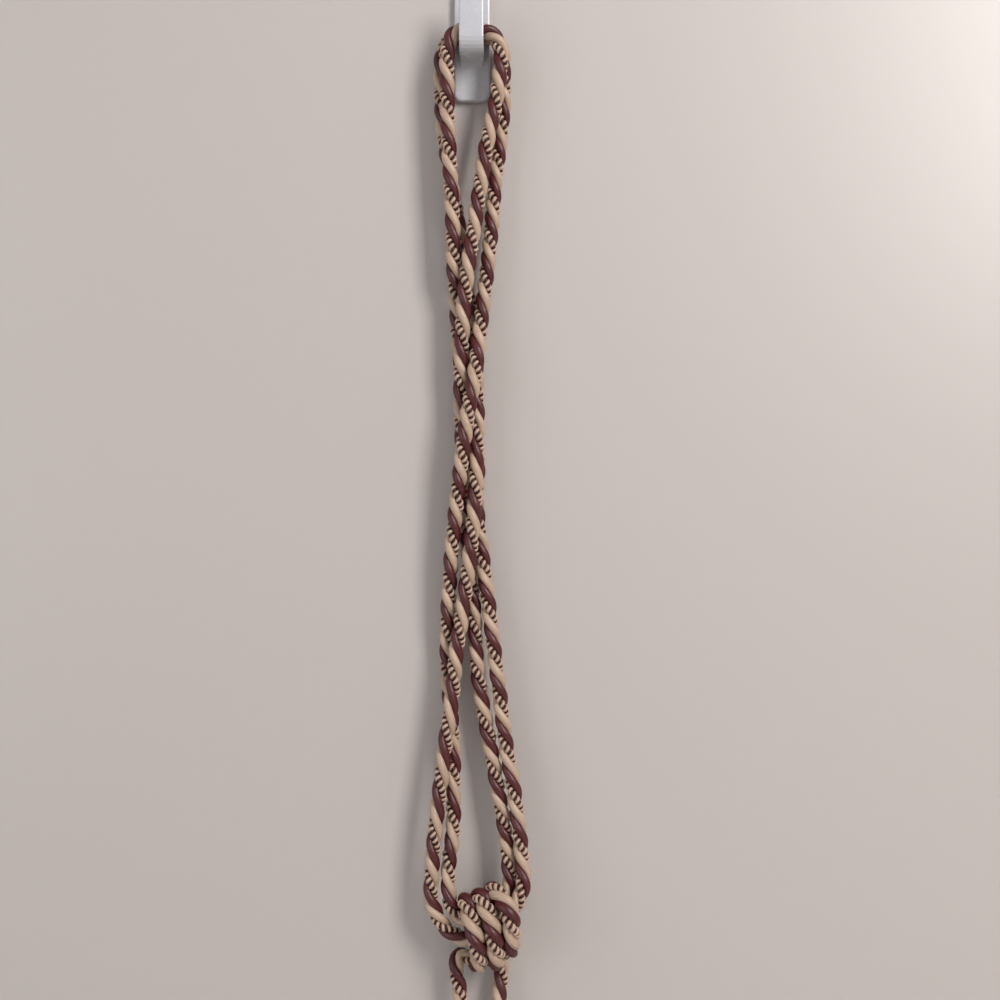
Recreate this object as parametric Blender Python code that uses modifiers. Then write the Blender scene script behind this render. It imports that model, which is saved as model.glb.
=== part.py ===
"""A curtain tieback tassel hanging by its two bights from a small J-shaped hook.

Metres, +Z up. The origin is the centre of the hook plate's back face, +Y points
into the wall that holds the plate, and -Y towards the room. Lengths in the
tables are millimetres and are scaled once, where the shapes are made.
"""

import math

import bmesh
import bpy
import numpy as np

MM = 0.001

# Cords
ARM_CORD_D = 6.6
TASSEL_CORD_D = 5.6
CORD_SIDES = 2  # a curve's bevel_resolution
LONGEST_STEP = 24.0  # between two points of a cord's tube
SHARPEST_TURN = math.radians(14)

# Hook
PLATE_W, PLATE_H, PLATE_T = 16.2, 60.0, 3.0
PLATE_CORNER = 3.5
PLATE_RIM = 0.9
ARM_W = 10.8
ARM_EDGE = 1.4
THROAT_FLOOR_Z = -5.8
THROAT_FRONT_Y = -18.6
ARM_UNDERSIDE_Z = -12.6
LIP_T = 3.8
LIP_TOP_Z = 14.0
HEEL_R = 7.0
THROAT_R = 2.4
ROOT_R = 2.5
ARC_STEPS = 6

# Tassel, measured down its own axis from the head's top
TASSEL_X, TASSEL_Y, TASSEL_TOP_Z = 3.1, -17.0, -464.3
GAP = 0.3
HEAD_H = 24.5
BAND_H = 7.0
SKIRT_H = 86.0
TURNED_STEPS = 40

# Where the four hanging strands pass, from the hook down to the knot. Each row
# is a height, then x and y of strands 1 to 4. Strands 1 and 2 leave the front
# bight to the left and to the right of the hook, strands 3 and 4 the back one.
STRANDS = (
    # z,      x1,    y1,      x2,    y2,      x3,    y3,      x4,    y4
    (-14.0, -10.9, -14.5, 13.2, -14.5, -13.9, -7.0, 14.1, -7.0),
    (-32.0, -10.9, -14.3, 11.1, -14.3, -13.8, -6.9, 14.3, -6.9),
    (-54.0, -10.1, -14.2, 6.5, -14.5, -11.6, -6.8, 12.2, -7.5),
    (-68.5, -9.4, -14.2, 4.3, -14.8, -9.2, -6.6, 10.4, -8.5),
    (-86.0, -8.5, -14.0, 1.7, -15.0, -6.2, -6.5, 9.1, -9.5),
    (-105.0, -8.1, -13.2, -1.1, -16.5, -4.4, -6.2, 7.3, -10.0),
    (-121.5, -7.1, -8.2, -3.2, -14.8, -0.7, -4.4, 5.3, -10.5),
    (-140.0, -6.1, -5.6, -4.3, -13.2, 1.4, -5.4, 3.3, -13.4),
    (-154.0, -4.4, -4.4, -4.8, -12.0, 2.0, -8.4, 1.7, -16.0),
    (-172.5, -1.0, -4.1, -4.8, -10.3, 2.5, -10.7, -1.5, -17.0),
    (-193.5, 2.5, -4.8, -4.1, -8.2, 2.2, -12.8, -4.4, -15.7),
    (-214.0, 2.3, -5.2, -5.0, -6.2, 1.3, -13.5, -6.9, -13.5),
    (-235.5, 4.6, -9.2, -1.8, -5.4, -0.7, -14.5, -9.0, -12.0),
    (-261.5, 8.0, -10.0, 1.0, -7.5, -4.1, -13.5, -10.7, -9.5),
    (-280.0, 10.2, -10.5, 1.9, -8.5, -6.9, -13.5, -11.2, -7.2),
    (-298.0, 12.5, -11.0, 3.9, -9.0, -8.5, -14.0, -10.3, -6.6),
    (-321.0, 15.4, -11.7, 8.1, -9.9, -11.8, -14.0, -8.5, -7.2),
    (-342.0, 19.0, -13.0, 11.9, -10.3, -14.3, -14.5, -8.2, -9.0),
    (-360.0, 21.4, -14.5, 15.0, -10.7, -16.3, -14.5, -8.4, -11.0),
    (-376.0, 22.9, -16.0, 16.7, -11.9, -17.6, -14.2, -10.3, -12.0),
)

# The two bights over the hook's arm and the two strands through the knot,
# as x, y, z from left to right.
FRONT_BIGHT = (
    (-10.4, -14.5, -9.8),
    (-9.0, -14.5, -5.2),
    (-5.6, -14.5, -2.3),
    (0.6, -14.5, -1.9),
    (6.6, -14.5, -2.4),
    (10.7, -14.5, -5.4),
    (12.8, -14.5, -10.0),
)
BACK_BIGHT = (
    (-13.3, -7.0, -9.8),
    (-11.1, -7.0, -5.2),
    (-6.8, -7.0, -2.4),
    (0.0, -7.0, -1.9),
    (7.2, -7.0, -2.4),
    (11.8, -7.0, -5.2),
    (13.9, -7.0, -10.0),
)
UPPER_CORE = (
    (-9.6, -13.3, -391.0),
    (-7.8, -14.0, -394.8),
    (-4.7, -14.7, -397.7),
    (-0.2, -15.4, -398.8),
    (4.7, -16.0, -398.0),
    (8.7, -15.8, -395.8),
    (12.3, -14.9, -391.9),
    (14.9, -13.4, -388.1),
    (17.2, -12.4, -383.3),
)
LOWER_CORE_LEFT = (
    (-17.9, -14.0, -388.6),
    (-16.3, -14.0, -394.8),
    (-13.2, -14.3, -400.5),
    (-8.7, -14.7, -404.4),
    (-2.9, -15.2, -406.7),
    (2.6, -15.9, -406.9),
)
LOWER_CORE_RIGHT = (
    (3.4, -16.0, -406.8),
    (9.6, -17.2, -404.2),
    (14.7, -18.4, -399.6),
    (18.4, -19.0, -393.6),
    (21.3, -18.8, -387.5),
    (23.1, -17.6, -381.7),
)

# The tassel's own cord: up behind the knot on the right, three turns round the
# two strands from right to left, and down again on the left. A turn's row is
# top, upper front, middle, lower front, bottom, lower back, upper back.
RIGHT_TAIL = (
    (6.1, -17.0, -463.7),
    (6.3, -16.9, -460.8),
    (7.4, -16.0, -455.1),
    (10.0, -12.5, -445.9),
    (12.0, -9.0, -436.5),
    (13.2, -6.5, -428.4),
    (13.4, -4.8, -420.9),
    (13.2, -3.6, -411.4),
    (11.6, -3.6, -400.0),
    (9.8, -6.0, -392.0),
)
TURNS = (
    (
        (8.4, -11.5, -386.5),
        (10.3, -18.0, -384.5),
        (13.6, -23.4, -386.7),
        (16.4, -26.0, -390.5),
        (17.7, -26.0, -395.7),
        (18.0, -23.6, -403.6),
        (17.1, -17.8, -410.9),
        (14.3, -11.6, -412.6),
        (10.5, -9.7, -405.2),
        (6.4, -9.2, -397.3),
        (4.0, -11.0, -391.1),
    ),
    (
        (3.1, -15.0, -387.8),
        (4.8, -21.0, -387.5),
        (7.2, -23.8, -392.1),
        (9.2, -24.6, -398.0),
        (10.7, -24.2, -406.4),
        (11.2, -19.5, -414.2),
        (10.2, -14.0, -417.8),
        (8.0, -9.7, -416.0),
        (4.1, -7.8, -408.6),
        (-0.2, -7.6, -400.1),
        (-2.2, -8.8, -394.7),
    ),
    (
        (-2.7, -13.5, -389.9),
        (-2.1, -19.5, -390.0),
        (-0.5, -22.8, -394.2),
        (1.3, -23.6, -400.5),
        (3.0, -22.9, -408.6),
        (3.8, -17.0, -416.9),
        (1.9, -11.2, -419.6),
    ),
)
LEFT_TAIL = (
    (-1.8, -7.8, -417.6),
    (-5.2, -7.0, -416.6),
    (-7.2, -8.4, -420.2),
    (-6.7, -9.4, -425.2),
    (-5.7, -10.5, -430.0),
    (-4.6, -12.5, -436.0),
    (-2.4, -15.2, -447.4),
    (-0.6, -16.5, -454.9),
    (0.0, -16.9, -460.8),
    (0.1, -17.0, -463.7),
)

# Turned outlines of the tassel, as radius and depth below each piece's top.
HEAD_PROFILE = (
    (0.0, 0.0),
    (7.2, 0.0),
    (9.6, 1.3),
    (11.7, 4.6),
    (12.8, 9.6),
    (12.3, 15.2),
    (10.3, 20.4),
    (8.4, 23.4),
    (8.2, HEAD_H),
    (0.0, HEAD_H),
)
BAND_PROFILE = (
    (0.0, 0.0),
    (8.8, 0.0),
    (9.6, 1.2),
    (9.9, 3.5),
    (9.6, 5.8),
    (8.8, BAND_H),
    (0.0, BAND_H),
)
SKIRT_PROFILE = (
    (0.0, 0.0),
    (8.6, 0.0),
    (10.6, 4.0),
    (12.4, 12.0),
    (13.8, 26.0),
    (14.9, 48.0),
    (15.6, 70.0),
    (15.9, 84.6),
    (15.2, SKIRT_H),
    (0.0, SKIRT_H),
)


def clear_scene():
    for obj in list(bpy.data.objects):
        bpy.data.objects.remove(obj, do_unlink=True)


def new_collection(name):
    collection = bpy.data.collections.new(name)
    bpy.context.scene.collection.children.link(collection)
    return collection


def new_material(name, colour, roughness):
    material = bpy.data.materials.new(name)
    material.use_nodes = True
    shader = material.node_tree.nodes["Principled BSDF"]
    shader.inputs["Base Color"].default_value = (*colour, 1.0)
    shader.inputs["Roughness"].default_value = roughness
    shader.inputs["Metallic"].default_value = 0.0
    return material


def strand(number):
    """One hanging strand's points from the hook down, as x, y, z."""
    return [(row[2 * number - 1], row[2 * number], row[0]) for row in STRANDS]


def arm_cord_route():
    """The one long cord, from the middle of the knot round both bights and back."""
    return [
        *reversed(LOWER_CORE_LEFT),
        *reversed(strand(3)),
        *BACK_BIGHT,
        *strand(4),
        *UPPER_CORE,
        *reversed(strand(2)),
        *reversed(FRONT_BIGHT),
        *strand(1),
        *reversed(LOWER_CORE_RIGHT),
    ]


def tassel_cord_route():
    turns = [point for turn in TURNS for point in turn]
    return [*RIGHT_TAIL, *turns, *LEFT_TAIL]


def smooth_curve(points, step=0.4):
    """A centripetal Catmull-Rom curve through the points, finely sampled."""
    p = np.array(points, float)
    p = np.vstack([2 * p[0] - p[1], p, 2 * p[-1] - p[-2]])
    fine = []
    for a, b, c, d in zip(p, p[1:], p[2:], p[3:]):
        t1 = math.sqrt(np.linalg.norm(b - a))
        t2 = t1 + math.sqrt(np.linalg.norm(c - b))
        t3 = t2 + math.sqrt(np.linalg.norm(d - c))
        count = max(2, round(float(np.linalg.norm(c - b)) / step))
        for t in np.linspace(t1, t2, count, endpoint=False):
            ab = a + (b - a) * t / t1
            bc = b + (c - b) * (t - t1) / (t2 - t1)
            cd = c + (d - c) * (t - t2) / (t3 - t2)
            abc = ab + (bc - ab) * t / t2
            bcd = bc + (cd - bc) * (t - t1) / (t3 - t1)
            fine.append(abc + (bcd - abc) * (t - t1) / (t2 - t1))
    fine.append(p[-2])
    return np.array(fine)


def spaced_points(fine):
    """Points of a fine curve, closer together where it bends."""
    along = np.diff(fine, axis=0)
    lengths = np.linalg.norm(along, axis=1)
    along /= lengths[:, None]
    kept, run, start = [0], 0.0, along[0]
    for i in range(1, len(fine) - 1):
        run += lengths[i - 1]
        turned = math.acos(min(1.0, float(along[i] @ start)))
        if run >= LONGEST_STEP or turned >= SHARPEST_TURN:
            kept.append(i)
            run, start = 0.0, along[i]
    if run < LONGEST_STEP / 10:
        kept.pop()
    return fine[[*kept, len(fine) - 1]]


def make_cord(name, route, diameter, collection, material):
    points = spaced_points(smooth_curve(route)) * MM
    curve = bpy.data.curves.new(name, "CURVE")
    curve.dimensions = "3D"
    spline = curve.splines.new("POLY")
    spline.points.add(len(points) - 1)
    for target, point in zip(spline.points, points):
        target.co = (*point, 1.0)
    spline.use_smooth = True
    curve.bevel_depth = diameter / 2 * MM
    curve.bevel_resolution = CORD_SIDES
    curve.use_fill_caps = True
    curve.materials.append(material)
    obj = bpy.data.objects.new(name, curve)
    collection.objects.link(obj)
    return obj


def make_turned(name, profile, top_z, collection, material):
    """A turned solid on the tassel's axis. The profile runs down its outer side."""
    mesh = bpy.data.meshes.new(name)
    vertices = [(radius * MM, 0.0, -depth * MM) for radius, depth in profile]
    edges = [(i, i + 1) for i in range(len(vertices) - 1)]
    mesh.from_pydata(vertices, edges, [])
    mesh.materials.append(material)
    obj = bpy.data.objects.new(name, mesh)
    obj.location = (TASSEL_X * MM, TASSEL_Y * MM, top_z * MM)
    collection.objects.link(obj)
    screw = obj.modifiers.new("Turn", "SCREW")
    screw.axis = "Z"
    screw.steps = TURNED_STEPS
    screw.render_steps = TURNED_STEPS
    screw.use_merge_vertices = True
    screw.merge_threshold = 0.00001
    screw.use_smooth_shade = True
    return obj


def arc(centre, radius, start, end):
    """Points of an arc in the outline's plane, from angle start to end in degrees."""
    angles = np.radians(np.linspace(start, end, ARC_STEPS + 1))
    return [
        (centre[0] + radius * math.cos(a), centre[1] + radius * math.sin(a))
        for a in angles
    ]


def hook_arm_outline():
    """The J's side view as y, z: out of the plate, round the heel and up the lip."""
    root = -PLATE_T + 0.6  # the arm starts inside the plate
    lip_front = THROAT_FRONT_Y - LIP_T
    tip = LIP_T / 2
    return [
        (root, ARM_UNDERSIDE_Z - ROOT_R),
        (-PLATE_T, ARM_UNDERSIDE_Z - ROOT_R),
        *arc((-PLATE_T - ROOT_R, ARM_UNDERSIDE_Z - ROOT_R), ROOT_R, 0, 90)[1:],
        *arc((lip_front + HEEL_R, ARM_UNDERSIDE_Z + HEEL_R), HEEL_R, 270, 180),
        *arc((lip_front + tip, LIP_TOP_Z - tip), tip, 180, 0),
        *arc((THROAT_FRONT_Y + THROAT_R, THROAT_FLOOR_Z + THROAT_R), THROAT_R, 180, 270),
        (root, THROAT_FLOOR_Z),
    ]


def new_mesh_object(name, build, collection):
    mesh = bpy.data.meshes.new(name)
    shape = bmesh.new()
    build(shape)
    bmesh.ops.recalc_face_normals(shape, faces=shape.faces)
    shape.to_mesh(mesh)
    shape.free()
    obj = bpy.data.objects.new(name, mesh)
    collection.objects.link(obj)
    return obj


def build_plate(shape):
    """The plate, its back face on y = 0, with round corners and an eased front rim."""
    bmesh.ops.create_cube(shape, size=1.0)
    size = (PLATE_W * MM, PLATE_T * MM, PLATE_H * MM)
    bmesh.ops.scale(shape, vec=size, verts=shape.verts)
    bmesh.ops.translate(shape, vec=(0, -PLATE_T / 2 * MM, 0), verts=shape.verts)
    middle = -PLATE_T / 2 * MM
    corners = [
        edge
        for edge in shape.edges
        if (edge.verts[0].co.y - middle) * (edge.verts[1].co.y - middle) < 0
    ]
    bmesh.ops.bevel(
        shape, geom=corners, offset=PLATE_CORNER * MM, segments=ARC_STEPS,
        profile=0.5, affect="EDGES",
    )
    rim = [e for e in shape.edges if all(v.co.y < middle for v in e.verts)]
    bmesh.ops.bevel(
        shape, geom=rim, offset=PLATE_RIM * MM, segments=2, profile=0.5, affect="EDGES"
    )


def build_hook_arm(shape):
    """The J as its side outline, as wide as the arm, with its long edges eased."""
    half = ARM_W / 2 * MM
    ring = [shape.verts.new((-half, y * MM, z * MM)) for y, z in hook_arm_outline()]
    side = shape.faces.new(ring)
    grown = bmesh.ops.extrude_face_region(shape, geom=[side])
    moved = [v for v in grown["geom"] if isinstance(v, bmesh.types.BMVert)]
    bmesh.ops.translate(shape, vec=(2 * half, 0, 0), verts=moved)
    inside = (-PLATE_T + 0.1) * MM
    long_edges = [
        edge
        for edge in shape.edges
        if abs(edge.verts[0].co.x - edge.verts[1].co.x) < half
        and not all(v.co.y > inside for v in edge.verts)
    ]
    bmesh.ops.bevel(
        shape, geom=long_edges, offset=ARM_EDGE * MM, segments=2, profile=0.5,
        affect="EDGES", clamp_overlap=True,
    )


def make_hook(collection, cutters, material):
    hook = new_mesh_object("hook", build_plate, collection)
    arm = new_mesh_object("hook_arm", build_hook_arm, cutters)
    arm.hide_render = True
    arm.display_type = "WIRE"
    join = hook.modifiers.new("Arm", "BOOLEAN")
    join.operation = "UNION"
    join.solver = "EXACT"
    join.object = arm
    hook.data.materials.append(material)
    hook.data.shade_smooth()
    hook.data.set_sharp_from_angle(angle=math.radians(35))
    return hook


def main():
    clear_scene()
    parts = new_collection("curtain_tieback_tassel")
    cutters = new_collection("cutters")
    plastic = new_material("white_plastic", (0.72, 0.72, 0.75), 0.3)
    rope = new_material("twisted_rope", (0.32, 0.12, 0.09), 0.6)
    yarn = new_material("tassel_yarn", (0.30, 0.10, 0.08), 0.7)
    band = new_material("band_yarn", (0.55, 0.40, 0.29), 0.6)

    make_hook(parts, cutters, plastic)
    make_cord("arm_cord", arm_cord_route(), ARM_CORD_D, parts, rope)
    make_cord("tassel_cord", tassel_cord_route(), TASSEL_CORD_D, parts, rope)
    band_top = TASSEL_TOP_Z - HEAD_H - GAP
    skirt_top = band_top - BAND_H - GAP
    make_turned("tassel_head", HEAD_PROFILE, TASSEL_TOP_Z, parts, yarn)
    make_turned("neck_band", BAND_PROFILE, band_top, parts, band)
    make_turned("tassel_skirt", SKIRT_PROFILE, skirt_top, parts, yarn)


main()
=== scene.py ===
"""A curtain tieback tassel on its hook: real twisted plies, a beaded ply and a yarn tassel.

The routes repeat part.py's, in the same frame. Tables are in millimetres.
"""

import math

import bpy
import numpy as np
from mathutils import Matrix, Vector


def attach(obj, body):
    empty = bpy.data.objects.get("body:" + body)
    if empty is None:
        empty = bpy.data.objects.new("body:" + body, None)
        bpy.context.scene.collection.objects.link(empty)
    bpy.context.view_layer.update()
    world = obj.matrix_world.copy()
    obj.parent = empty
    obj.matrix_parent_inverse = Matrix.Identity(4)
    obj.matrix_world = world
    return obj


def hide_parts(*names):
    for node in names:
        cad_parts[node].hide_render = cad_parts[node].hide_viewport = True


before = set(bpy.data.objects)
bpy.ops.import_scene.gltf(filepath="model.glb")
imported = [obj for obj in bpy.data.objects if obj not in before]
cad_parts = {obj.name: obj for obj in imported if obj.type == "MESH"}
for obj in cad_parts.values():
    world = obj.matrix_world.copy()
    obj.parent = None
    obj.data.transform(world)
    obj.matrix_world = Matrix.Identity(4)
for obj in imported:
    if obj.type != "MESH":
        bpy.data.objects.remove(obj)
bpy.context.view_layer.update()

MM = 0.001
RNG = np.random.default_rng(7)

# ---------------------------------------------------------------- routes

STRANDS = (
    # z,      x1,    y1,      x2,    y2,      x3,    y3,      x4,    y4
    (-14.0, -10.9, -14.5, 13.2, -14.5, -13.9, -7.0, 14.1, -7.0),
    (-32.0, -10.9, -14.3, 11.1, -14.3, -13.8, -6.9, 14.3, -6.9),
    (-54.0, -10.1, -14.2, 6.5, -14.5, -11.6, -6.8, 12.2, -7.5),
    (-68.5, -9.4, -14.2, 4.3, -14.8, -9.2, -6.6, 10.4, -8.5),
    (-86.0, -8.5, -14.0, 1.7, -15.0, -6.2, -6.5, 9.1, -9.5),
    (-105.0, -8.1, -13.2, -1.1, -16.5, -4.4, -6.2, 7.3, -10.0),
    (-121.5, -7.1, -8.2, -3.2, -14.8, -0.7, -4.4, 5.3, -10.5),
    (-140.0, -6.1, -5.6, -4.3, -13.2, 1.4, -5.4, 3.3, -13.4),
    (-154.0, -4.4, -4.4, -4.8, -12.0, 2.0, -8.4, 1.7, -16.0),
    (-172.5, -1.0, -4.1, -4.8, -10.3, 2.5, -10.7, -1.5, -17.0),
    (-193.5, 2.5, -4.8, -4.1, -8.2, 2.2, -12.8, -4.4, -15.7),
    (-214.0, 2.3, -5.2, -5.0, -6.2, 1.3, -13.5, -6.9, -13.5),
    (-235.5, 4.6, -9.2, -1.8, -5.4, -0.7, -14.5, -9.0, -12.0),
    (-261.5, 8.0, -10.0, 1.0, -7.5, -4.1, -13.5, -10.7, -9.5),
    (-280.0, 10.2, -10.5, 1.9, -8.5, -6.9, -13.5, -11.2, -7.2),
    (-298.0, 12.5, -11.0, 3.9, -9.0, -8.5, -14.0, -10.3, -6.6),
    (-321.0, 15.4, -11.7, 8.1, -9.9, -11.8, -14.0, -8.5, -7.2),
    (-342.0, 19.0, -13.0, 11.9, -10.3, -14.3, -14.5, -8.2, -9.0),
    (-360.0, 21.4, -14.5, 15.0, -10.7, -16.3, -14.5, -8.4, -11.0),
    (-376.0, 22.9, -16.0, 16.7, -11.9, -17.6, -14.2, -10.3, -12.0),
)
FRONT_BIGHT = (
    (-10.4, -14.5, -9.8), (-9.0, -14.5, -5.2), (-5.6, -14.5, -2.3), (0.6, -14.5, -1.9),
    (6.6, -14.5, -2.4), (10.7, -14.5, -5.4), (12.8, -14.5, -10.0),
)
BACK_BIGHT = (
    (-13.3, -7.0, -9.8), (-11.1, -7.0, -5.2), (-6.8, -7.0, -2.4), (0.0, -7.0, -1.9),
    (7.2, -7.0, -2.4), (11.8, -7.0, -5.2), (13.9, -7.0, -10.0),
)
UPPER_CORE = (
    (-9.6, -13.3, -391.0), (-7.8, -14.0, -394.8), (-4.7, -14.7, -397.7),
    (-0.2, -15.4, -398.8), (4.7, -16.0, -398.0), (8.7, -15.8, -395.8),
    (12.3, -14.9, -391.9), (14.9, -13.4, -388.1), (17.2, -12.4, -383.3),
)
LOWER_CORE_LEFT = (
    (-17.9, -14.0, -388.6), (-16.3, -14.0, -394.8), (-13.2, -14.3, -400.5),
    (-8.7, -14.7, -404.4), (-2.9, -15.2, -406.7), (2.6, -15.9, -406.9),
)
LOWER_CORE_RIGHT = (
    (3.4, -16.0, -406.8), (9.6, -17.2, -404.2), (14.7, -18.4, -399.6),
    (18.4, -19.0, -393.6), (21.3, -18.8, -387.5), (23.1, -17.6, -381.7),
)
RIGHT_TAIL = (
    (6.1, -17.0, -463.7), (6.3, -16.9, -460.8), (7.4, -16.0, -455.1),
    (10.0, -12.5, -445.9), (12.0, -9.0, -436.5), (13.2, -6.5, -428.4),
    (13.4, -4.8, -420.9), (13.2, -3.6, -411.4), (11.6, -3.6, -400.0), (9.8, -6.0, -392.0),
)
TURNS = (
    (
        (8.4, -11.5, -386.5), (10.3, -18.0, -384.5), (13.6, -23.4, -386.7),
        (16.4, -26.0, -390.5), (17.7, -26.0, -395.7), (18.0, -23.6, -403.6),
        (17.1, -17.8, -410.9), (14.3, -11.6, -412.6), (10.5, -9.7, -405.2),
        (6.4, -9.2, -397.3), (4.0, -11.0, -391.1),
    ),
    (
        (3.1, -15.0, -387.8), (4.8, -21.0, -387.5), (7.2, -23.8, -392.1),
        (9.2, -24.6, -398.0), (10.7, -24.2, -406.4), (11.2, -19.5, -414.2),
        (10.2, -14.0, -417.8), (8.0, -9.7, -416.0), (4.1, -7.8, -408.6),
        (-0.2, -7.6, -400.1), (-2.2, -8.8, -394.7),
    ),
    (
        (-2.7, -13.5, -389.9), (-2.1, -19.5, -390.0), (-0.5, -22.8, -394.2),
        (1.3, -23.6, -400.5), (3.0, -22.9, -408.6), (3.8, -17.0, -416.9),
        (1.9, -11.2, -419.6),
    ),
)
LEFT_TAIL = (
    (-1.8, -7.8, -417.6), (-5.2, -7.0, -416.6), (-7.2, -8.4, -420.2),
    (-6.7, -9.4, -425.2), (-5.7, -10.5, -430.0), (-4.6, -12.5, -436.0),
    (-2.4, -15.2, -447.4), (-0.6, -16.5, -454.9), (0.0, -16.9, -460.8),
    (0.1, -17.0, -463.7),
)

# How the rope is laid: where the beaded ply comes round to the front of each
# strand, as height and turns counted down the strand.
BEADS_IN_FRONT = {
    1: ((-15.6, 0), (-35.3, 1), (-56, 2), (-77.6, 3), (-99.7, 4), (-120.5, 5),
        (-240.6, 11), (-261.2, 12), (-281.1, 13), (-302.1, 14), (-322.6, 15),
        (-343.8, 16), (-365, 17)),
    2: ((-32.9, 0), (-53, 1), (-74.7, 2), (-94.7, 3), (-114.5, 4), (-137.5, 5),
        (-160.2, 6), (-269.5, 11), (-290, 12), (-312.2, 13), (-333.4, 14),
        (-355.6, 15), (-374, 16)),
    3: ((-33.5, 0), (-53.5, 1), (-160, 6), (-181.4, 7), (-205.2, 8), (-226, 9),
        (-247.5, 10), (-269.4, 11), (-290.6, 12), (-315.6, 13), (-338.1, 14),
        (-362.3, 15)),
    4: ((-21, 0), (-41.4, 1), (-58.8, 2), (-76.9, 3), (-95.5, 4), (-113.3, 5),
        (-132.5, 6), (-152.2, 7), (-171, 8), (-190.9, 9), (-209.3, 10),
        (-229.4, 11), (-250.6, 12), (-271.4, 13), (-312.5, 15), (-333.3, 16),
        (-354.7, 17), (-375.6, 18)),
}
# The same for the tassel's cord, as x, y, z along it.
BEADS_IN_FRONT_OF_KNOT = (
    (13.3, -5.3, -424.0), (17.8, -25.6, -397.0), (10.7, -24.2, -407.0),
    (-1.2, -21.5, -392.5), (3.3, -21.5, -411.5), (-5.4, -11.0, -431.5),
)

ROPE_D = 7.2
PLY_R = ROPE_D / 2 / 2.155
LAY = 20.6
BEAD_PITCH = 2.35

TASSEL_X, TASSEL_Y, TASSEL_TOP_Z = 3.1, -17.0, -464.3
HEAD_H, BAND_H, SKIRT_H = 24.5, 7.0, 86.0
HEAD_PROFILE = (
    (7.2, 0.0), (9.6, 1.3), (11.7, 4.6), (12.8, 9.6), (12.3, 15.2), (10.3, 20.4),
    (8.4, 23.4), (8.2, HEAD_H),
)


def smooth_curve(points, step=0.3):
    """A centripetal Catmull-Rom curve through the points, finely sampled."""
    p = np.array(points, float)
    p = np.vstack([2 * p[0] - p[1], p, 2 * p[-1] - p[-2]])
    fine = []
    for a, b, c, d in zip(p, p[1:], p[2:], p[3:]):
        t1 = math.sqrt(np.linalg.norm(b - a))
        t2 = t1 + math.sqrt(np.linalg.norm(c - b))
        t3 = t2 + math.sqrt(np.linalg.norm(d - c))
        count = max(2, round(float(np.linalg.norm(c - b)) / step))
        for t in np.linspace(t1, t2, count, endpoint=False):
            ab = a + (b - a) * t / t1
            bc = b + (c - b) * (t - t1) / (t2 - t1)
            cd = c + (d - c) * (t - t2) / (t3 - t2)
            abc = ab + (bc - ab) * t / t2
            bcd = bc + (cd - bc) * (t - t1) / (t3 - t1)
            fine.append(abc + (bcd - abc) * (t - t1) / (t2 - t1))
    fine.append(p[-2])
    return np.array(fine)


def run_lengths(points):
    steps = np.linalg.norm(np.diff(points, axis=0), axis=1)
    return np.concatenate([[0.0], np.cumsum(steps)])


def evenly(points, step):
    s = run_lengths(points)
    at = np.linspace(0, s[-1], max(2, round(s[-1] / step)) + 1)
    return np.column_stack([np.interp(at, s, points[:, i]) for i in range(3)]), at


def unit(v):
    return v / np.maximum(np.linalg.norm(v, axis=-1, keepdims=True), 1e-12)


def carried_frames(points):
    """Tangents and two normals that don't turn about the curve."""
    tangents = unit(np.gradient(points, axis=0))
    normal = np.cross(tangents[0], (0.0, 1.0, 0.0))
    if np.linalg.norm(normal) < 0.2:
        normal = np.cross(tangents[0], (1.0, 0.0, 0.0))
    normals = [unit(normal)]
    for t in tangents[1:]:
        n = normals[-1] - t * (normals[-1] @ t)
        normals.append(n / np.linalg.norm(n))
    normals = np.array(normals)
    return tangents, normals, np.cross(tangents, normals)


# ---------------------------------------------------------------- camera

CAMERA_Y_PLANE = -9.0
CAMERA_AWAY = 570.0
VIEW_W = 450.0
CAMERA = np.array((12.7, CAMERA_Y_PLANE - CAMERA_AWAY, -211.5))

camera = bpy.data.objects.new("camera", bpy.data.cameras.new("camera"))
bpy.context.scene.collection.objects.link(camera)
camera.location = CAMERA * MM
camera.rotation_euler = (math.radians(90), 0, 0)
camera.data.sensor_width = 36.0
camera.data.lens = 36.0 * CAMERA_AWAY / VIEW_W
camera.data.clip_start = 0.01
bpy.context.scene.camera = camera


# ---------------------------------------------------------------- materials


def graph(name):
    material = bpy.data.materials.new(name)
    material.use_nodes = True
    return material, material.node_tree, material.node_tree.nodes["Principled BSDF"]


def ramp(tree, factor, stops):
    node = tree.nodes.new("ShaderNodeValToRGB")
    elements = node.color_ramp.elements
    while len(elements) < len(stops):
        elements.new(0.5)
    for element, (at, colour) in zip(elements, stops):
        element.position = at
        element.color = (*colour, 1.0)
    tree.links.new(factor, node.inputs["Fac"])
    return node.outputs["Color"]


def stretched(tree, scale, shear=0.0):
    """UVs as (round the ply, along it), sheared so that fibres run at a slant."""
    uv = tree.nodes.new("ShaderNodeUVMap")
    mapping = tree.nodes.new("ShaderNodeMapping")
    mapping.inputs["Scale"].default_value = (*scale, 1.0)
    mapping.inputs["Rotation"].default_value = (0, 0, shear)
    tree.links.new(uv.outputs["UV"], mapping.inputs["Vector"])
    return mapping.outputs["Vector"]


def noise(tree, vector, scale, detail=3.0, rough=0.6):
    node = tree.nodes.new("ShaderNodeTexNoise")
    node.inputs["Scale"].default_value = scale
    node.inputs["Detail"].default_value = detail
    node.inputs["Roughness"].default_value = rough
    if vector is not None:
        tree.links.new(vector, node.inputs["Vector"])
    return node.outputs["Fac"]


def mixed(tree, kind, factor, a, b):
    node = tree.nodes.new("ShaderNodeMix")
    node.data_type = "RGBA"
    node.blend_type = kind
    node.inputs["Factor"].default_value = factor
    tree.links.new(a, node.inputs["A"])
    tree.links.new(b, node.inputs["B"])
    return node.outputs["Result"]


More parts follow.
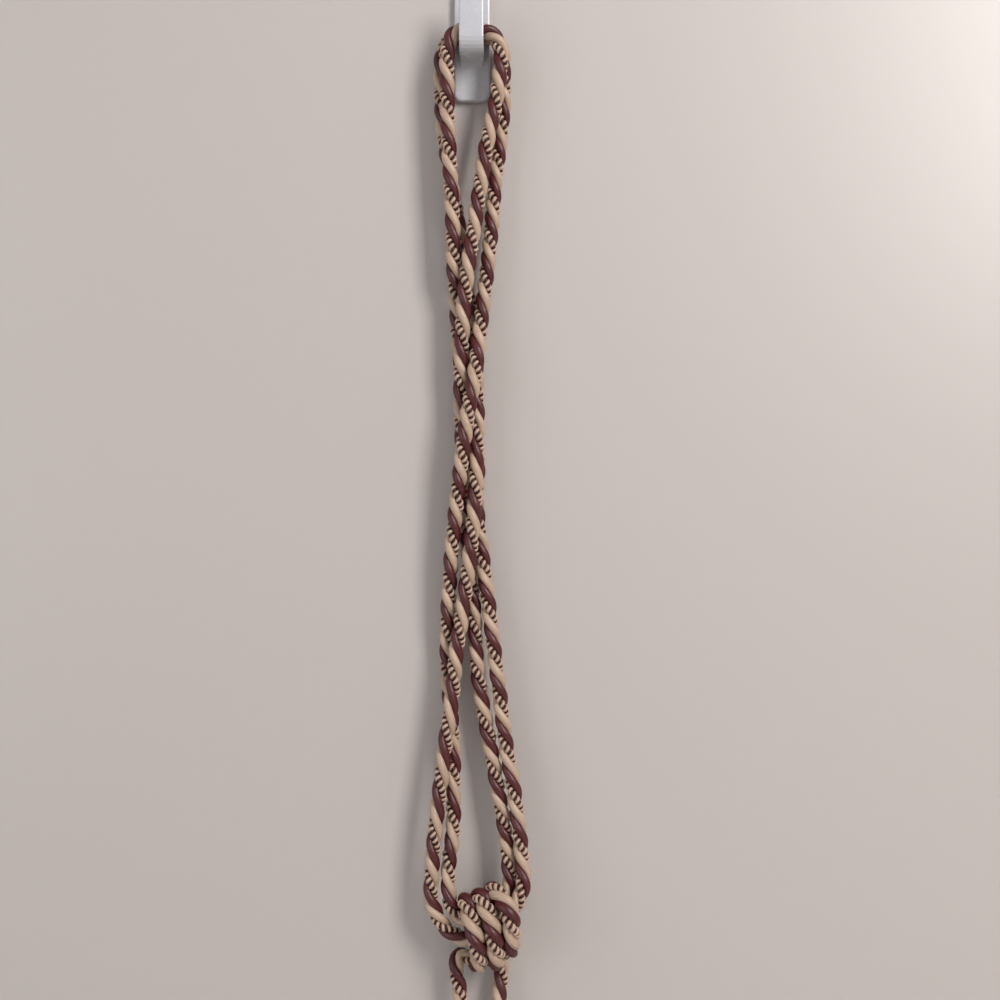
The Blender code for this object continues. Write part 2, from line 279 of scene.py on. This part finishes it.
def bump(tree, shader, height, strength, distance):
    node = tree.nodes.new("ShaderNodeBump")
    node.inputs["Strength"].default_value = strength
    node.inputs["Distance"].default_value = distance
    tree.links.new(height, node.inputs["Height"])
    tree.links.new(node.outputs["Normal"], shader.inputs["Normal"])


def satin(name, dark, mid, light, roughness, sheen):
    """Rayon satin yarn: fine fibres along the ply, with slow changes of tone."""
    material, tree, shader = graph(name)
    fibres = noise(tree, stretched(tree, (30.0, 1.4), 0.12), 1.0, 4.0, 0.65)
    slow = noise(tree, stretched(tree, (2.0, 0.5)), 1.0, 2.0, 0.5)
    fine = ramp(tree, fibres, ((0.25, dark), (0.5, mid), (0.78, light)))
    tone = ramp(tree, slow, ((0.3, (0.82, 0.8, 0.78)), (0.7, (1.0, 1.0, 1.0))))
    tree.links.new(mixed(tree, "MULTIPLY", 1.0, fine, tone), shader.inputs["Base Color"])
    shader.inputs["Roughness"].default_value = roughness
    shader.inputs["Specular IOR Level"].default_value = 0.55
    shader.inputs["Sheen Weight"].default_value = sheen
    shader.inputs["Sheen Roughness"].default_value = 0.4
    shader.inputs["Sheen Tint"].default_value = (*light, 1.0)
    bump(tree, shader, fibres, 0.35, 0.0003)
    return material


BEIGE = satin(
    "beige_satin", (0.36, 0.235, 0.165), (0.52, 0.37, 0.275), (0.66, 0.5, 0.39), 0.42, 0.25
)
BURGUNDY = satin(
    "burgundy_satin", (0.035, 0.002, 0.003), (0.075, 0.006, 0.008), (0.16, 0.02, 0.025),
    0.4, 0.2,
)
# Near-black maroon: partly the real dark core, partly painted shade, so that the gaps
# between beads, plies, threads and yarns show deep shade.
CORE_AND_GAP_SHADE = satin(
    "dark_core_and_gap_shade", (0.012, 0.001, 0.001), (0.03, 0.002, 0.003), (0.06, 0.005, 0.006), 0.6, 0.1
)
GIMP = satin(
    "beige_gimp", (0.38, 0.24, 0.17), (0.56, 0.385, 0.29), (0.70, 0.52, 0.41), 0.45, 0.25
)

# ---------------------------------------------------------------- meshes


def tubes_mesh(name, tubes):
    """One mesh from tubes of (rings n x m x 3 in mm, metres-free v along, material)."""
    verts, faces, uvs, slots, materials = [], [], [], [], []
    base = 0
    for rings, along, material in tubes:
        n, m, _ = rings.shape
        if material not in materials:
            materials.append(material)
        slot = materials.index(material)
        verts.append(rings.reshape(-1, 3) * MM)
        i, j = np.meshgrid(np.arange(n - 1), np.arange(m), indexing="ij")
        k = (j + 1) % m
        quad = np.stack([i * m + j, i * m + k, (i + 1) * m + k, (i + 1) * m + j], -1)
        faces.append(quad.reshape(-1, 4) + base)
        u0, u1 = j / m, (j + 1) / m
        v0, v1 = along[i], along[i + 1]
        uv = np.stack([u0, v0, u1, v0, u1, v1, u0, v1], -1)
        uvs.append(uv.reshape(-1, 2))
        slots.append(np.full((n - 1) * m, slot))
        base += n * m
    verts = np.concatenate(verts)
    faces = np.concatenate(faces)
    mesh = bpy.data.meshes.new(name)
    mesh.vertices.add(len(verts))
    mesh.vertices.foreach_set("co", verts.astype(np.float32).ravel())
    mesh.loops.add(len(faces) * 4)
    mesh.loops.foreach_set("vertex_index", faces.astype(np.int32).ravel())
    mesh.polygons.add(len(faces))
    mesh.polygons.foreach_set("loop_start", np.arange(0, len(faces) * 4, 4, dtype=np.int32))
    mesh.polygons.foreach_set("material_index", np.concatenate(slots).astype(np.int32))
    mesh.uv_layers.new(name="UVMap")
    mesh.uv_layers[0].data.foreach_set("uv", np.concatenate(uvs).astype(np.float32).ravel())
    for material in materials:
        mesh.materials.append(material)
    mesh.update(calc_edges=True)
    mesh.validate()
    mesh.shade_smooth()
    obj = bpy.data.objects.new(name, mesh)
    bpy.context.scene.collection.objects.link(obj)
    return obj


def sweep(centres, out, side, a, b, sides, close=True):
    """Rings round centres: out and side span each ring, with half-widths a and b."""
    angles = np.arange(sides) * 2 * math.pi / sides
    a = np.broadcast_to(a, len(centres))[:, None, None]
    b = np.broadcast_to(b, len(centres))[:, None, None]
    rings = (
        centres[:, None]
        + a * np.cos(angles)[None, :, None] * out[:, None]
        + b * np.sin(angles)[None, :, None] * side[:, None]
    )
    if close:  # each end is drawn in to a small rounded tip
        tips = []
        for end, inner in ((0, 1), (-1, -2)):
            middle = centres[end]
            away = unit(centres[end] - centres[inner])
            tips.append(middle + (rings[end] - middle) * 0.05 + away * 0.35)
        rings = np.concatenate([tips[0][None], rings, tips[1][None]])
    return rings


def extended(along, close=True):
    return np.concatenate([[along[0]], along, [along[-1]]]) if close else along


def laid_rope(name, route, marks, fat=None):
    """The plies of one rope. marks are (x, y, z, turns or None) where beads are in front."""
    path, s = evenly(smooth_curve(route), 1.15)
    _, n, b = carried_frames(path)
    at, turns = [], []
    for x, y, z, count in marks:
        i = int(np.argmin(np.linalg.norm(path - (x, y, z), axis=1)))
        look = CAMERA - path[i]
        phase = -math.atan2(look @ b[i], look @ n[i]) / (2 * math.pi)
        at.append((s[i], phase, count))
    at.sort(key=lambda row: row[0])
    where, total = [at[0][0]], [at[0][1]]
    for (s0, p0, c0), (s1, p1, c1) in zip(at, at[1:]):
        same = c0 is not None and c1 is not None and c0[0] == c1[0]
        wanted = abs(c1[1] - c0[1]) if same else (s1 - s0) / LAY
        step = p1 - p0
        step += round(wanted - step)
        where.append(s1)
        total.append(total[-1] + step)
    ends = [where[0] - 500, *where, where[-1] + 500]
    totals = [total[0] - 500 / LAY, *total, total[-1] + 500 / LAY]
    turned = np.interp(s, ends, totals)
    pad = np.pad(turned, 7, mode="reflect", reflect_type="odd")
    turned = np.convolve(pad, np.hanning(17)[1:-1] / np.hanning(17)[1:-1].sum(), "valid")

    swell = np.ones(len(s)) if fat is None else fat(path)
    tubes, bars = [], None
    for offset, kind in ((0, "beads"), (1, "beige"), (2, "burgundy")):
        theta = -2 * math.pi * turned + offset * 2 * math.pi / 3
        out = np.cos(theta)[:, None] * n + np.sin(theta)[:, None] * b
        r = PLY_R * swell
        centre = path + out * (1.155 * r)[:, None]
        along = unit(np.gradient(centre, axis=0))
        radial = unit(out - along * np.sum(out * along, axis=1, keepdims=True))
        side = np.cross(along, radial)
        length = run_lengths(centre)
        v = length / 10
        if kind == "beads":
            # The beaded ply's core, near-black partly as painted shade between the bead
            # bars.
            rings = sweep(centre, radial, side, r * 0.58, r * 0.62, 8)
            tubes.append((rings, extended(v), CORE_AND_GAP_SHADE))
            bars = wrapped(centre, radial, side, length, r)
        else:
            material = BEIGE if kind == "beige" else BURGUNDY
            rings = sweep(centre, radial, side, r * 0.98, r * 1.06, 12)
            tubes.append((rings, extended(v), material))
    rope = tubes_mesh(name, tubes)
    beads = tubes_mesh(name + "_beads", [bars])
    return rope, beads, path


def wrapped(centre, radial, side, length, r):
    """The thick thread wound round the beaded ply."""
    count = length[-1] / BEAD_PITCH
    q = np.linspace(0, length[-1], int(count * 12))
    psi = 2 * math.pi * q / BEAD_PITCH
    jitter = 1 + 0.05 * np.interp(q, np.arange(0, length[-1] + 3, 3.0),
                                  RNG.normal(size=len(np.arange(0, length[-1] + 3, 3.0))))

    def lift(a):
        return np.column_stack([np.interp(q, length, a[:, i]) for i in range(3)])

    c, e1, e2 = lift(centre), unit(lift(radial)), unit(lift(side))
    rr = np.interp(q, length, r)
    out = np.cos(psi)[:, None] * e1 + np.sin(psi)[:, None] * e2
    line = c + out * (rr * 0.73)[:, None]
    t = unit(np.gradient(line, axis=0))
    out = unit(out - t * np.sum(out * t, axis=1, keepdims=True))
    across = np.cross(t, out)
    rings = sweep(line, out, across, rr * 0.27 * jitter, rr * 0.44 * jitter, 6)
    return rings, extended(run_lengths(line) / 10), GIMP


def strand(number):
    return [(row[2 * number - 1], row[2 * number], row[0]) for row in STRANDS]


def strand_marks(number):
    z, x, y = (np.array([row[i] for row in STRANDS])[::-1]
               for i in (0, 2 * number - 1, 2 * number))
    return [
        (np.interp(h, z, x), np.interp(h, z, y), h, (number, count))
        for h, count in BEADS_IN_FRONT[number]
    ]


arm_route = [
    *reversed(LOWER_CORE_LEFT), *reversed(strand(3)), *BACK_BIGHT, *strand(4), *UPPER_CORE,
    *reversed(strand(2)), *reversed(FRONT_BIGHT), *strand(1), *reversed(LOWER_CORE_RIGHT),
]
arm_marks = [mark for number in (3, 4, 2, 1) for mark in strand_marks(number)]
tassel_route = [*RIGHT_TAIL, *(p for turn in TURNS for p in turn), *LEFT_TAIL]
knot_marks = [(*point, None) for point in BEADS_IN_FRONT_OF_KNOT]


def fatter_in_front(path):
    """The plies grow fatter, and so spread, where the turns lie over the knot's front."""
    t = np.clip((-path[:, 1] - 12) / 9, 0, 1) * (path[:, 2] > -420)
    return 1 + 0.17 * t * t * (3 - 2 * t)


arms, arm_beads, arm_path = laid_rope("arm_rope", arm_route, arm_marks)
hanger, hanger_beads, hanger_path = laid_rope(
    "tassel_rope", tassel_route, knot_marks, fatter_in_front
)
for rope, beads, path, node in (
    (arms, arm_beads, arm_path, "arm_cord"),
    (hanger, hanger_beads, hanger_path, "tassel_cord"),
):
    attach(rope, "root")
    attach(beads, "root")
    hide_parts(node)

# ---------------------------------------------------------------- tassel

AXIS = np.array((TASSEL_X, TASSEL_Y, 0.0))
BAND_TOP = TASSEL_TOP_Z - HEAD_H - 0.3
SKIRT_TOP = BAND_TOP - BAND_H - 0.3


def about_axis(radius, angle, z):
    return np.column_stack(
        [
            TASSEL_X + radius * np.cos(angle),
            TASSEL_Y + radius * np.sin(angle),
            np.broadcast_to(z, np.shape(radius)),
        ]
    )


def yarn(line, width, sides=6, flat=1.0, turns_per_mm=0.0):
    t, n, b = carried_frames(line)
    s = run_lengths(line)
    spin = 2 * math.pi * turns_per_mm * s
    out = np.cos(spin)[:, None] * n + np.sin(spin)[:, None] * b
    side = np.cross(t, out)
    return sweep(line, out, side, width / 2, width / 2 * flat, sides), extended(s / 10)


def head_threads():
    """Threads laid side by side over the mould, from its eye down to its neck."""
    depth = np.array([d for _, d in HEAD_PROFILE])
    radius = np.array([r for r, _ in HEAD_PROFILE])
    outline = smooth_curve(
        [(3.4, 0, 0.9), (6.2, 0, -0.1)] + [(r - 0.55, 0, -d) for r, d in HEAD_PROFILE], 0.8
    )
    line, s = evenly(outline, 1.1)
    tubes, count = [], 54
    for i in range(count):
        angle = 2 * math.pi * i / count + 0.5 * (s / s[-1]) + RNG.normal(0, 0.006)
        spread = about_axis(line[:, 0], angle, 0)
        spread[:, 2] = TASSEL_TOP_Z + line[:, 2]
        width = np.clip(2 * math.pi * line[:, 0] / count * 1.16, 0.5, 1.75)
        t = unit(np.gradient(spread, axis=0))
        out = unit(spread * (1, 1, 0) - AXIS * (1, 1, 0))
        out = unit(out - t * np.sum(out * t, axis=1, keepdims=True))
        side = np.cross(t, out)
        rings = sweep(spread, out, side, 0.62, width / 2, 6)
        material = BEIGE if i % 6 == 0 else BURGUNDY
        tubes.append((rings, extended(s / 10), material))
    # the mould under them, near-black so that it shows as painted shade in the gaps between
    # the threads
    ring = np.linspace(0, 2 * math.pi, 33)[:-1]
    mould = np.stack(
        [about_axis(np.full(32, max(r - 1.0, 0.2)), ring, TASSEL_TOP_Z - d)
         for r, d in [(0.5, 0.6), *HEAD_PROFILE]]
    )
    tubes.append((mould, np.linspace(0, 2.4, len(mould)), CORE_AND_GAP_SHADE))
    return tubes


def ring_rope(radius, z, width, pitch, beads_material, core_and_shade_material):
    """A ring of gimp: a core with a thread wound round it."""
    angle = np.linspace(0, 2 * math.pi, 97)
    line = about_axis(np.full(97, radius), angle, z)
    t = np.column_stack([-np.sin(angle), np.cos(angle), np.zeros(97)])
    out = np.column_stack([np.cos(angle), np.sin(angle), np.zeros(97)])
    up = np.cross(t, out)
    # The gimp's core, near-black partly as painted shade between the wound bars.
    core = sweep(line, out, up, width * 0.33, width * 0.33, 8, close=False)
    tubes = [(core, run_lengths(line) / 10, core_and_shade_material)]
    length = 2 * math.pi * radius
    count = round(length / pitch)
    q = np.linspace(0, 2 * math.pi, count * 12 + 1)
    psi = q * count
    ring_out = np.column_stack([np.cos(q), np.sin(q), np.zeros(len(q))])
    ring_up = np.tile((0.0, 0.0, -1.0), (len(q), 1))
    lift = np.cos(psi)[:, None] * ring_out + np.sin(psi)[:, None] * ring_up
    wound = about_axis(np.full(len(q), radius), q, z) + lift * width * 0.36
    tt = unit(np.gradient(wound, axis=0))
    lift = unit(lift - tt * np.sum(lift * tt, axis=1, keepdims=True))
    across = np.cross(tt, lift)
    bars = sweep(wound, lift, across, width * 0.14, pitch * 0.31, 6, close=False)
    tubes.append((bars, run_lengths(wound) / 10, beads_material))
    return tubes


def skirt_strands():
    """The skirt's yarns in three rounds, from under the band to the uneven hem."""
    tubes = []
    for radius_top, radius_low, count, short in ((7.9, 15.0, 52, 0), (6.1, 11.9, 40, 1.5),
                                                 (4.0, 8.2, 26, 3.0)):
        for i in range(count):
            a0 = 2 * math.pi * (i + RNG.uniform(-0.16, 0.16)) / count
            drop = SKIRT_H - 0.6 - short - RNG.uniform(0, 2.2)
            d = np.linspace(0, 1, 26)
            z = SKIRT_TOP - d * drop
            swell = np.clip(d / 0.3, 0, 1)
            swell = swell * (2 - swell)
            r = radius_top + (radius_low - radius_top) * (0.62 * swell + 0.38 * d)
            r += 0.22 * np.sin(2 * math.pi * (d * RNG.uniform(1.1, 1.9) + RNG.random())) * d
            a = a0 + 0.10 * d + 0.05 * np.sin(2 * math.pi * (d * 1.3 + RNG.random())) * d
            line = about_axis(np.minimum(r, 15.2), a, 0)
            line[:, 2] = z
            width = 1.55 + 0.25 * np.clip(d * 5, 0, 1)
            rings, v = yarn(line, width, 6, 0.86, 0.22)
            pick = (i * 3 + count) % 7
            material = BEIGE if pick in (0, 3) else BURGUNDY
            tubes.append((rings, v, material))
    # A near-black inner body: painted shade for the shadowed inside of the skirt.
    inner = np.linspace(0, 2 * math.pi, 25)[:-1]
    levels = ((3.0, 0.2), (6.2, 0.5), (6.2, 8.0), (5.0, 30.0), (5.2, 60.0), (4.5, 76.0),
              (0.4, 77.0))
    fill = np.stack([about_axis(np.full(24, r), inner, SKIRT_TOP - d) for r, d in levels])
    tubes.append((fill, np.linspace(0, 8, len(fill)), CORE_AND_GAP_SHADE))
    return tubes


band_tubes = []
for z, width, radius in ((-1.5, 2.9, 8.4), (-3.6, 3.0, 8.9), (-5.6, 2.9, 8.4)):
    band_tubes += ring_rope(radius, BAND_TOP + z, width, 2.2, GIMP, CORE_AND_GAP_SHADE)
head = tubes_mesh("tassel_head_threads", head_threads())
band = tubes_mesh("neck_band_gimp", band_tubes)
skirt = tubes_mesh("tassel_skirt_yarns", skirt_strands())
for piece, node, slot in (
    (head, "tassel_head", "tassel_yarn"),
    (band, "neck_band", "band_yarn"),
    (skirt, "tassel_skirt", "tassel_yarn"),
):
    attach(piece, "root")
    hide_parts(node)

# ---------------------------------------------------------------- hook


def moulded_plastic():
    material, tree, shader = graph("moulded_plastic")
    place = tree.nodes.new("ShaderNodeTexCoord").outputs["Object"]
    tone = noise(tree, place, 60.0, 4.0, 0.6)
    colour = ramp(tree, tone, ((0.3, (0.50, 0.50, 0.535)), (0.7, (0.56, 0.56, 0.59))))
    tree.links.new(colour, shader.inputs["Base Color"])
    wear = ramp(tree, noise(tree, place, 220.0, 5.0, 0.7),
                ((0.3, (0.2, 0.2, 0.2)), (0.75, (0.34, 0.34, 0.34))))
    tree.links.new(wear, shader.inputs["Roughness"])
    shader.inputs["Specular IOR Level"].default_value = 0.5
    bump(tree, shader, noise(tree, place, 90.0, 2.0, 0.5), 0.06, 0.0006)
    return material


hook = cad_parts["hook"]
plastic = moulded_plastic()
for slot in hook.material_slots:
    slot.material = plastic

# ---------------------------------------------------------------- stage


def plain(name, colour, roughness, one_sided=False):
    material, tree, shader = graph(name)
    shader.inputs["Base Color"].default_value = (*colour, 1.0)
    shader.inputs["Roughness"].default_value = roughness
    if one_sided:
        clear = tree.nodes.new("ShaderNodeBsdfTransparent")
        mix = tree.nodes.new("ShaderNodeMixShader")
        geometry = tree.nodes.new("ShaderNodeNewGeometry")
        output = tree.nodes["Material Output"]
        tree.links.new(geometry.outputs["Backfacing"], mix.inputs["Fac"])
        tree.links.new(shader.outputs["BSDF"], mix.inputs[1])
        tree.links.new(clear.outputs["BSDF"], mix.inputs[2])
        tree.links.new(mix.outputs["Shader"], output.inputs["Surface"])
    return material


def sheet(name, corners, material):
    mesh = bpy.data.meshes.new(name)
    mesh.from_pydata(corners, [], [(0, 1, 2, 3)])
    mesh.materials.append(material)
    obj = bpy.data.objects.new(name, mesh)
    bpy.context.scene.collection.objects.link(obj)
    return obj


FLOOR_Z = -0.60
WALL_Y = 0.0006
sheet(
    "backdrop",
    [(-3, WALL_Y, FLOOR_Z), (3, WALL_Y, FLOOR_Z), (3, WALL_Y, 3), (-3, WALL_Y, 3)],
    plain("backdrop", (0.52, 0.475, 0.455), 0.35, one_sided=True),
)
sheet(
    "floor",
    [(-3, -4, FLOOR_Z), (3, -4, FLOOR_Z), (3, 3, FLOOR_Z), (-3, 3, FLOOR_Z)],
    plain("floor", (0.6, 0.58, 0.56), 0.6),
)


def area_light(name, place, aim, size, power, colour=(1, 1, 1)):
    data = bpy.data.lights.new(name, "AREA")
    data.shape = "RECTANGLE"
    data.size, data.size_y = size
    data.energy = power
    data.color = colour
    obj = bpy.data.objects.new(name, data)
    bpy.context.scene.collection.objects.link(obj)
    obj.location = place
    obj.rotation_euler = (Vector(aim) - Vector(place)).to_track_quat("-Z", "Y").to_euler()
    return obj


MIDDLE = (0.0, -0.01, -0.25)
area_light("key", (0.75, -0.95, 0.45), MIDDLE, (0.35, 0.8), 15, (1.0, 0.97, 0.94))
area_light("fill", (-1.0, -0.9, -0.1), MIDDLE, (0.8, 1.0), 4, (0.97, 0.98, 1.0))
area_light("back", (0.3, 1.1, 0.5), MIDDLE, (0.8, 0.8), 6)

world = bpy.data.worlds.new("studio")
bpy.context.scene.world = world
world.use_nodes = True
world.node_tree.nodes["Background"].inputs["Color"].default_value = (0.85, 0.86, 0.88, 1)
world.node_tree.nodes["Background"].inputs["Strength"].default_value = 0.45
bpy.context.scene.view_settings.view_transform = "Standard"
